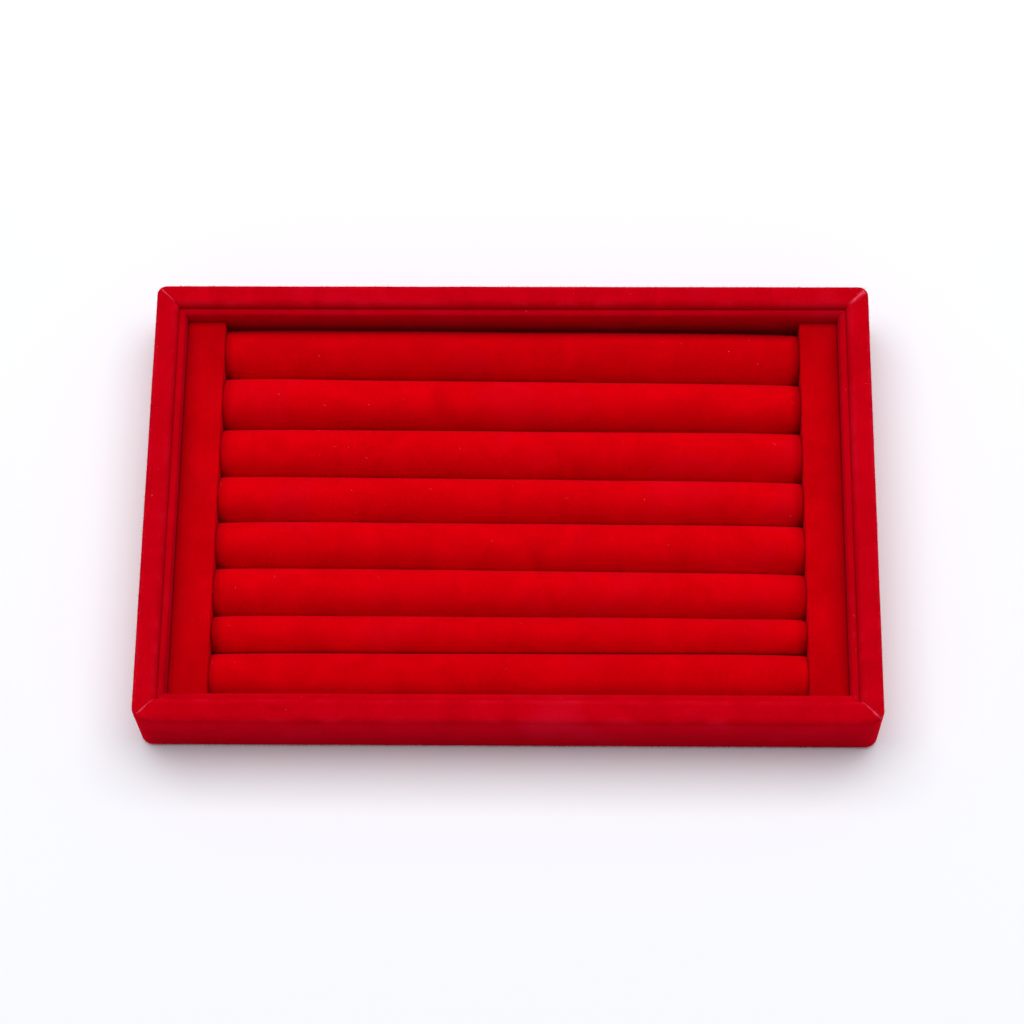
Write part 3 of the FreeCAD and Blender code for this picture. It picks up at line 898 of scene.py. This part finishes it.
slack_rolls = {number: (rings, roll_mesh(number, rings)) for number, rings in slack_rings.items()}
print(len(slack_rolls), "slack sleeves of", len(slack_rolls[1][1].vertices), "points")

# %% [markdown]
# The stuffing then blows the slack sleeves up. The cloth solver does that with pressure and without
# gravity: the sole is glued to the card and the ends are held by the bars, so those points are pinned.
# The solver is made for clothes, so the rolls are simulated as large as bolsters and brought back to
# size, and no point may move further than the foam would push it.

# %% Stuff the sleeves
STUFFING_SCALE = 40.0
STUFFING_FRAMES = 20
STUFFING_PRESSURE = 4.0
STUFFING_CAP = 0.5
SEWN_STIFFNESS = 15.0


def held_points(rings, count):
    """The numbers of the points that are glued to the card or held by the bars."""
    glued = rings[..., 2] < rings[..., 2].min() + CLOSE
    glued[0] = glued[-1] = True
    caps = range(glued.size, count)
    return [*np.flatnonzero(glued.ravel()).tolist(), *caps]


def stuffed(meshes):
    """Where the points of slack sleeves end up, in millimetres, when their stuffing presses them out."""
    sleeves = []
    for rings, mesh in meshes:
        sleeve = bpy.data.objects.new("sleeve", mesh.copy())
        sleeve.data.transform(Matrix.Scale(STUFFING_SCALE, 4))
        bpy.context.scene.collection.objects.link(sleeve)
        held = sleeve.vertex_groups.new(name="held")
        held.add(held_points(rings, len(mesh.vertices)), 1.0, "REPLACE")
        cloth = sleeve.modifiers.new("stuffing", "CLOTH")
        cloth.settings.use_pressure = True
        cloth.settings.uniform_pressure_force = STUFFING_PRESSURE
        cloth.settings.vertex_group_mass = held.name
        cloth.settings.tension_stiffness = SEWN_STIFFNESS
        cloth.settings.effector_weights.gravity = 0
        cloth.point_cache.frame_end = STUFFING_FRAMES
        sleeves.append(sleeve)
    for step in range(1, STUFFING_FRAMES + 1):
        bpy.context.scene.frame_set(step)
    drawn = bpy.context.evaluated_depsgraph_get()
    results = []
    for sleeve in sleeves:
        swollen = sleeve.evaluated_get(drawn).data.vertices
        results.append(np.array([vertex.co for vertex in swollen]) / (STUFFING_SCALE * MM))
        left_over = sleeve.data
        bpy.data.objects.remove(sleeve)
        bpy.data.meshes.remove(left_over)
    bpy.context.scene.frame_set(1)
    return results


for (rings, mesh), swollen in zip(slack_rolls.values(), stuffed(slack_rolls.values())):
    start = np.array([vertex.co for vertex in mesh.vertices]) / MM
    move = swollen - start
    far = np.linalg.norm(move, axis=1)
    move *= np.minimum(1, STUFFING_CAP / np.maximum(far, HAIR))[:, None]
    mesh.vertices.foreach_set("co", ((start + move) * MM).astype(np.float32).ravel())
    mesh.update()
    print(mesh.name, "moved", round(float(np.median(far)), 3), "mm, at most", round(far.max(), 3))

# %% [markdown]
# A deeper tone is mixed in as painted shade: low on the near flanks, at the ends beside the bars, and on
# the far shoulder of the farthest roll, which lies in the shade of the back wall. Some rolls are also drawn
# a little darker all over.

# %% Eight stuffed rolls
FARTHEST_ROLL = 1
FAR_SHADE_SHARE, FAR_SHADE_REACH = 1.0, 4.0
# How much darker the whole of a roll is drawn, by the roll's number
ROLL_DARKER_SHARES = {1: 0.2, 7: 0.08, 8: 0.14}
NEAR_SHADE_SHARES = (0.2, 0.3, 0.16, 0.2, 0.2, 0.3, 0.1, 0.3)
NEAR_SHADE_REACH = 5.0
# Painted shade at the left and the right end of each roll, where the bars shade it
END_SHADE_SHARES = ((0.65, 0.9), (0.6, 0.85), (0.5, 0.6), (0.5, 0.65),
                   (0.6, 0.5), (0.65, 0.6), (0.8, 0.6), (0.5, 0.3))
END_SHADE_REACH = 2.6

for number, (rings, mesh) in slack_rolls.items():
    name = "roll_%d" % number
    from_far = rings[..., 1].max(axis=1, keepdims=True) - rings[..., 1]
    from_near = rings[..., 1] - rings[..., 1].min(axis=1, keepdims=True)
    from_end = abs(rings[..., 0]).max() - abs(rings[..., 0])
    press_and_shade_share = NEAR_SHADE_SHARES[number - 1] * fading(from_near, NEAR_SHADE_REACH)
    end_shares = np.where(rings[..., 0] < 0, *END_SHADE_SHARES[number - 1])
    press_and_shade_share = np.maximum(press_and_shade_share, end_shares * fading(from_end, END_SHADE_REACH))
    press_and_shade_share = np.maximum(press_and_shade_share, ROLL_DARKER_SHARES.get(number, 0))
    if number == FARTHEST_ROLL:
        press_and_shade_share = np.maximum(press_and_shade_share, FAR_SHADE_SHARE * fading(from_far, FAR_SHADE_REACH))
    # Painted shade on flanks, ends and the far shoulder, and a darker tone all over on some rolls
    mark(mesh, "flat", press_and_shade_share)
    piece = add_piece(name, mesh, ROLL_VELVET, "ring_pad", "red_velvet", name + "_sleeve", name + "_foam")
    print(name, "width", round(float(np.ptp(rings[0, :, 1])), 1), "mm on the left")

# %% [markdown]
# ## Pile tips, threads and lint
# Velvet has no sharp outline: the tips of its pile stand out from every edge and catch the light. A hair
# system could grow them, but hairs don't leave the scene as a mesh, so each tuft is a thin closed spike
# with its root in the cloth. Tufts stand along the outer edges of the rim, on the far shoulders of the
# rolls and along the bars, where they show against what lies behind them. The same spikes, longer and
# paler, are the cut threads at the mitres and the lint that lies on every velvet tray.

# %% Fibres as thin spikes
ROOT_DEPTH = 0.05
FIBRE_SEED = 41
draw = np.random.default_rng(FIBRE_SEED)


def fibre(name, dark, light, patch_mm):
    """Loose polyester fibre, dull, with a soft shine along its sides and tones that change now and then."""
    finish = {"Roughness": 0.7, "IOR": 1.5, "Specular IOR Level": 0.0,
              "Sheen Weight": 0.3, "Sheen Tint": linear(light)}
    return two_toned(name, dark, light, patch_mm, {"Detail": 1.0}, finish)


def spikes(roots, ways, lengths, thickness):
    """The points and faces of thin three-sided spikes, each from its root along its way."""
    ways = ways / np.linalg.norm(ways, axis=1, keepdims=True)
    across = np.cross(ways, np.roll(ways, 1, axis=1) + np.array([HAIR, 0, 0]))
    across /= np.maximum(np.linalg.norm(across, axis=1, keepdims=True), HAIR)
    beside = np.cross(ways, across)
    base = roots - ways * ROOT_DEPTH
    corners = [base + thickness / 2 * (math.cos(turn) * across + math.sin(turn) * beside)
               for turn in (0, math.tau / 3, 2 * math.tau / 3)]
    points = np.stack([*corners, roots + ways * lengths[:, None]], axis=1).reshape(-1, 3)
    spike = ([0, 1, 3], [1, 2, 3], [2, 0, 3], [0, 2, 1])
    faces = [[4 * number + corner for corner in face] for number in range(len(roots)) for face in spike]
    return points, faces


def add_fibres(name, material, body, roots, ways, lengths, thickness):
    """One piece of many spikes, with lengths drawn between two limits."""
    points, faces = spikes(roots, ways, draw.uniform(*lengths, len(roots)), thickness)
    add_piece(name, skinned(name, points, faces), material, body, "red_velvet")
    print(name, "of", len(roots), "fibres")


print("fibres drawn from seed", FIBRE_SEED)

# %% Tufts along the rim
TUFTS_PER_MM = 8
TUFT_LENGTHS = (0.25, 0.7)
TUFT_THICKNESS = 0.11
TUFT_LEAN = 0.5
# Sides whose top edge is stroked smooth, so that no tufts stand on it
SMOOTH_TOPS = ("front",)


def picked(grid, rows, columns):
    """Points of a grid at places between its rows and columns."""
    row, column = rows.astype(int), columns.astype(int)
    down, right = (rows - row)[:, None], (columns - column)[:, None]
    here = grid[row, column] * (1 - right) + grid[row, column + 1] * right
    below = grid[row + 1, column] * (1 - right) + grid[row + 1, column + 1] * right
    return here * (1 - down) + below * down


def rows_along(line, count):
    """Places between the points of a line, drawn evenly along its length."""
    run = np.linalg.norm(np.diff(line, axis=0), axis=1).cumsum()
    return np.interp(draw.uniform(0, run[-1], count), run, np.arange(len(run))).clip(0, len(run) - 1 - HAIR)


def gathered(runs):
    """The roots and the ways of several runs of fibres, joined."""
    roots, ways = zip(*runs)
    return np.concatenate(roots), np.concatenate(ways)


def rim_tufts():
    """Roots and ways of the tufts along the outer edges of the rim, above and below."""
    for side, (outside, outward, turns) in rail_outsides.items():
        length = 2 * half_length_of(side)
        band = np.flatnonzero(turns > 0)
        if side in SMOOTH_TOPS:
            band = band[outside[0, band, 2] < RIM_TOP / 2]
        count = round(TUFTS_PER_MM * length)
        rows = rows_along(outside[:, band[0]], count)
        columns = draw.choice(band, count) + draw.uniform(-1, 1, count) * (1 - HAIR)
        yield picked(outside, rows, columns), picked(outward, rows, columns)


def add_tufts(name, material, body, roots, ways, lengths):
    """One piece of many pile tips, each leaning its own way."""
    ways = ways + TUFT_LEAN * draw.normal(size=ways.shape)
    add_fibres(name, material, body, roots, ways, lengths, TUFT_THICKNESS)


TUFT_FIBRE = fibre("red_velvet_tuft", "#D81834", "#FF5874", TUFT_MM)
add_tufts("rim_tufts", TUFT_FIBRE, "tray", *gathered(rim_tufts()), TUFT_LENGTHS)

# %% Cut threads at the mitres
THREAD_LENGTHS = (0.5, 1.3)
THREAD_THICKNESS = 0.07
THREAD_LIFT = 0.35
THREAD_REACH_SHARE = 0.85
THREAD_COUNTS = {"front_left": 8, "front_right": 12, "back_right": 34, "back_left": 6}


def mitre_threads():
    """Roots and ways of the cut threads that stick out of the four mitres."""
    for corner, count in THREAD_COUNTS.items():
        signs = np.array([1 if "right" in corner else -1, 1 if "back" in corner else -1])
        depths = draw.uniform(OUTER_EDGE / 2, LINER_DEPTH * THREAD_REACH_SHARE, count)
        plan = (TRAY_HALF - depths[:, None]) * signs
        flat_ways = draw.normal(size=(count, 2))
        lifts = THREAD_LIFT * abs(draw.normal(size=count))
        roots = np.column_stack([plan, np.full(count, RIM_TOP - SEAM_DIP)])
        yield roots, np.column_stack([flat_ways, lifts])


THREAD_FIBRE = fibre("pale_backing_thread", "#F04C66", "#FF8496", TUFT_MM)
add_fibres("mitre_threads", THREAD_FIBRE, "tray", *gathered(mitre_threads()),
           THREAD_LENGTHS, THREAD_THICKNESS)

# %% Lint on the rolls and on the rim
# The column of a roll's rings where its crown starts, and the steps of the crown that are on top
CROWN_START = SOLE_STEPS + FOOT_TURN_STEPS + FLANK_STEPS
TOP_STEPS = (8, 18)
CROWN_COLUMNS = slice(*(CROWN_START + step for step in TOP_STEPS))
ROLL_LINT_COUNT, RIM_LINT_COUNT = 36, 26
LINT_LENGTHS = (0.5, 1.5)
LINT_LIFT = 0.15


def stuffed_rings(number):
    """The rings of points along a stuffed roll."""
    rings, mesh = slack_rolls[number]
    points = np.array([vertex.co for vertex in mesh.vertices][:rings.shape[0] * rings.shape[1]]) / MM
    return points.reshape(rings.shape)


def lint_places(beds, count):
    """Roots and ways of lint that lies here and there on some grids of points."""
    roots, ways = [], []
    for number in draw.integers(0, len(beds), count):
        bed = beds[number]
        row, column = (draw.integers(0, size) for size in bed.shape[:2])
        roots.append(bed[row, column])
        ways.append((*draw.normal(size=2), LINT_LIFT))
    return np.array(roots), np.array(ways)


LINT_FIBRE = fibre("pink_lint", "#E06070", "#F0A0AA", STREAK_MM)
crowns = [stuffed_rings(number)[:, CROWN_COLUMNS] for number in slack_rolls]
for name, body, beds, count in (("roll_lint", "ring_pad", crowns, ROLL_LINT_COUNT),
                                ("rim_lint", "tray", lint_beds, RIM_LINT_COUNT)):
    add_fibres(name, LINT_FIBRE, body, *lint_places(beds, count), LINT_LENGTHS, THREAD_THICKNESS)

# %% Tufts on the rolls and along the bars
ROLL_TUFTS_PER_MM = 5
ROLL_TUFT_LENGTHS = (0.2, 0.45)
# The steps of the crown along the far shoulder, where a roll stands out against the next one
SHOULDER_STEPS = (2, 6)
# How steeply the tufts stand on the bars' edges beside the rolls and beside the liner
BAR_INNER_TUFT_SLOPE, BAR_OUTER_TUFT_SLOPE = math.radians(45), math.radians(20)


def roll_tufts():
    """Roots and ways of the tufts along the far shoulders of the rolls."""
    for number in slack_rolls:
        rings = stuffed_rings(number)
        outward = rings - rings.mean(axis=1, keepdims=True)
        outward /= np.linalg.norm(outward, axis=2, keepdims=True)
        count = round(ROLL_TUFTS_PER_MM * np.ptp(rings[..., 0]))
        first, last = (CROWN_START + step for step in SHOULDER_STEPS)
        rows = rows_along(rings[:, first], count)
        columns = draw.uniform(first, last, count)
        yield picked(rings, rows, columns), picked(outward, rows, columns)


def bar_tufts():
    """Roots and ways of the tufts along the bars' edges, beside the rolls and beside the liner."""
    for end, direction in BAR_ENDS:
        low, high = corners_mm(end + "_bar_velvet")
        inner, outer = (low[0], high[0] + BAR_PILE) if direction > 0 else (high[0], low[0] - BAR_PILE)
        count = round(ROLL_TUFTS_PER_MM * (high[1] - low[1]))
        for edge, slope, facing in ((inner, BAR_INNER_TUFT_SLOPE, -direction),
                                    (outer, BAR_OUTER_TUFT_SLOPE, direction)):
            across = edge - facing * BAR_EDGE * (1 - math.cos(slope))
            up = high[2] - BAR_EDGE * (1 - math.sin(slope))
            places = draw.uniform(low[1] + BAR_END_EDGE, high[1] - BAR_END_EDGE, count)
            roots = np.column_stack([np.full(count, across), places, np.full(count, up)])
            yield roots, np.tile((facing * math.cos(slope), 0, math.sin(slope)), (count, 1))


PAD_TUFT_FIBRE = fibre("warm_red_velvet_tuft", "#C80410", "#DE1024", TUFT_MM)
pad_tufts = {"roll_tufts": gathered(roll_tufts()), "bar_tufts": gathered(bar_tufts())}
for name, tufts in pad_tufts.items():
    add_tufts(name, PAD_TUFT_FIBRE, "ring_pad", *tufts, ROLL_TUFT_LENGTHS)

# %% [markdown]
# ## Boards and papers
# The rails, the bars' cores, the cards and the papers keep their own shapes, because they are cut from
# sheet stock and are already right. They only need their finish.

# %% Boards and papers
BOARD_RELIEF_MM = 0.05


def pressed_board(name, dark, light, fleck_mm, roughness):
    """Pressed fibres, pulp or flock, in flecks of two tones, with a dull, slightly uneven face."""
    finish = {"Roughness": roughness, "IOR": 1.5, "Specular IOR Level": 0.3}
    grain = {"Detail": 6.0, "Roughness": 0.65}
    return two_toned(name, dark, light, fleck_mm, grain, finish, BOARD_RELIEF_MM)


BOARDS = {
    "fibreboard": pressed_board("sawn_fibreboard", "#9A7A52", "#C3A273", 0.9, 0.8),
    "hardboard": pressed_board("pressed_hardboard", "#5E4028", "#8A6442", 1.4, 0.65),
    "grey_board": pressed_board("recycled_grey_board", "#85827B", "#A7A49C", 1.1, 0.85),
    "flocked_paper": pressed_board("black_flocked_paper", "#0E0D0F", "#211F22", 0.5, 0.95),
}
for subpart in frame["record"]["subparts"]:
    slot = subpart["material_slot"]
    if slot in BOARDS:
        board_piece = frame["nodes"][subpart["node"]]
        board_piece.data.materials.clear()
        board_piece.data.materials.append(BOARDS[slot])
        print(board_piece.name, "in", BOARDS[slot].name)

# %% [markdown]
# ## Table, light and camera
# The tray stands on a white paper sweep under one broad softbox that hangs above and a little behind it,
# so the rim throws a soft shade forward and the rolls are brightest on their far shoulders. The white
# room around gives about a third of the light, slightly cool.

# %% Table
FLOOR_HALF = 4.0
# Away from the tray the paper is seen as plain white, fading in between these distances in metres
WHITE_START, WHITE_END = 0.35, 1.0


def seen_directly(tree):
    """1 for rays that see a surface from the camera, also by gloss and glass, and 0 for all others."""
    path = add_node(tree, "LightPath", {}, {})
    seen = add_node(tree, "Math", {"operation": "MAXIMUM"},
                    {0: path.outputs["Is Camera Ray"], 1: path.outputs["Is Glossy Ray"]})
    seen_through = add_node(tree, "Math", {"operation": "MAXIMUM"},
                            {0: seen.outputs["Value"], 1: path.outputs["Is Transmission Ray"]})
    return seen_through.outputs["Value"]


floor_mesh = bpy.data.meshes.new("floor")
floor_corners = [(-1, -1), (1, -1), (1, 1), (-1, 1)]
floor_points = [(FLOOR_HALF * x, FLOOR_HALF * y, 0) for x, y in floor_corners]
floor_mesh.from_pydata(floor_points, [], [(0, 1, 2, 3)])
floor = bpy.data.objects.new("floor", floor_mesh)
bpy.context.scene.collection.objects.link(floor)
sweep, sweep_tree, sweep_output = new_material("white_paper_sweep")
paper = add_node(sweep_tree, "BsdfPrincipled",
                 {"Base Color": linear("#FAFBFE"), "Roughness": 0.9, "Specular IOR Level": 0.1}, {})
place = add_node(sweep_tree, "TexCoord", {}, {}).outputs["Object"]
away = add_node(sweep_tree, "VectorMath", {"operation": "LENGTH"}, {0: place})
far = add_node(sweep_tree, "MapRange", {"From Min": WHITE_START, "From Max": WHITE_END},
               {"Value": away.outputs["Value"]})
white_share = add_node(sweep_tree, "Math", {"operation": "MULTIPLY"},
                       {0: far.outputs["Result"], 1: seen_directly(sweep_tree)})
white = add_node(sweep_tree, "Emission", {"Strength": 1.0}, {})
sweep_look = add_node(sweep_tree, "MixShader", {},
                      {0: white_share.outputs["Value"],
                       1: paper.outputs["BSDF"], 2: white.outputs["Emission"]})
sweep_tree.links.new(sweep_look.outputs["Shader"], sweep_output.inputs["Surface"])
floor_mesh.materials.append(sweep)
print("floor in", sweep.name)

# %% Room and softbox
ROOM_LEVEL = 0.33
world = bpy.data.worlds.new("white_room")
bpy.context.scene.world = world
world.use_nodes = True
room_tree = world.node_tree
room_tree.nodes.clear()
seen = seen_directly(room_tree)
level = add_node(room_tree, "MapRange", {"To Min": ROOM_LEVEL, "To Max": 1.0}, {"Value": seen})
hue = add_node(room_tree, "Mix",
               {"data_type": "RGBA", MIX_FIRST: linear("#F0F3FF"), MIX_SECOND: linear("#FFFFFF")},
               {MIX_FACTOR: seen})
room = add_node(room_tree, "Background", {},
                {"Color": hue.outputs[MIX_RESULT], "Strength": level.outputs["Result"]})
room_output = room_tree.nodes.new("ShaderNodeOutputWorld")
room_tree.links.new(room.outputs["Background"], room_output.inputs["Surface"])

SOFTBOX_WIDTH, SOFTBOX_DEPTH = 3.2, 2.0
SOFTBOX_WATTS = 53.5
SOFTBOX_PLACE = Vector((0.0, 0.57, 2.12))
softbox_data = bpy.data.lights.new("softbox", "AREA")
softbox_data.shape = "RECTANGLE"
softbox_data.size = SOFTBOX_WIDTH
softbox_data.size_y = SOFTBOX_DEPTH
softbox_data.energy = SOFTBOX_WATTS
softbox = bpy.data.objects.new("softbox", softbox_data)
softbox.location = SOFTBOX_PLACE
softbox.rotation_euler = (-SOFTBOX_PLACE).to_track_quat("-Z", "Y").to_euler()
bpy.context.scene.collection.objects.link(softbox)
print("lit by", softbox.name, "and", world.name)

# %% [markdown]
# The camera stands in front of the tray and looks steeply down, turned a few degrees. Its place and lens
# come from the tray's corners in the picture, which is square.

# %% Camera
IMAGE_PIXELS = 1024
FOCAL_PIXELS = 2988.0
SENSOR_MM = 36.0
CAMERA_ELEVATION = math.radians(67.36)
CAMERA_AZIMUTH = math.radians(2.98)
CAMERA_ROLL = math.radians(-2.57)
CAMERA_TARGET = Vector((0.28, 5.38, 0.0)) * MM
CAMERA_DISTANCE = 943.3 * MM

camera_data = bpy.data.cameras.new("camera")
camera_data.sensor_width = SENSOR_MM
camera_data.lens = FOCAL_PIXELS * SENSOR_MM / IMAGE_PIXELS
camera = bpy.data.objects.new("camera", camera_data)
turn = Matrix.Rotation(CAMERA_AZIMUTH, 4, "Z") @ Matrix.Rotation(math.pi / 2 - CAMERA_ELEVATION, 4, "X")
back = turn @ Vector((0, 0, 1))
camera.matrix_world = (Matrix.Translation(CAMERA_TARGET + back * CAMERA_DISTANCE)
                       @ turn @ Matrix.Rotation(CAMERA_ROLL, 4, "Z"))
bpy.context.scene.collection.objects.link(camera)
bpy.context.scene.camera = camera
bpy.context.scene.view_settings.view_transform = "Standard"
print("camera at", [round(value, 3) for value in camera.matrix_world.translation])
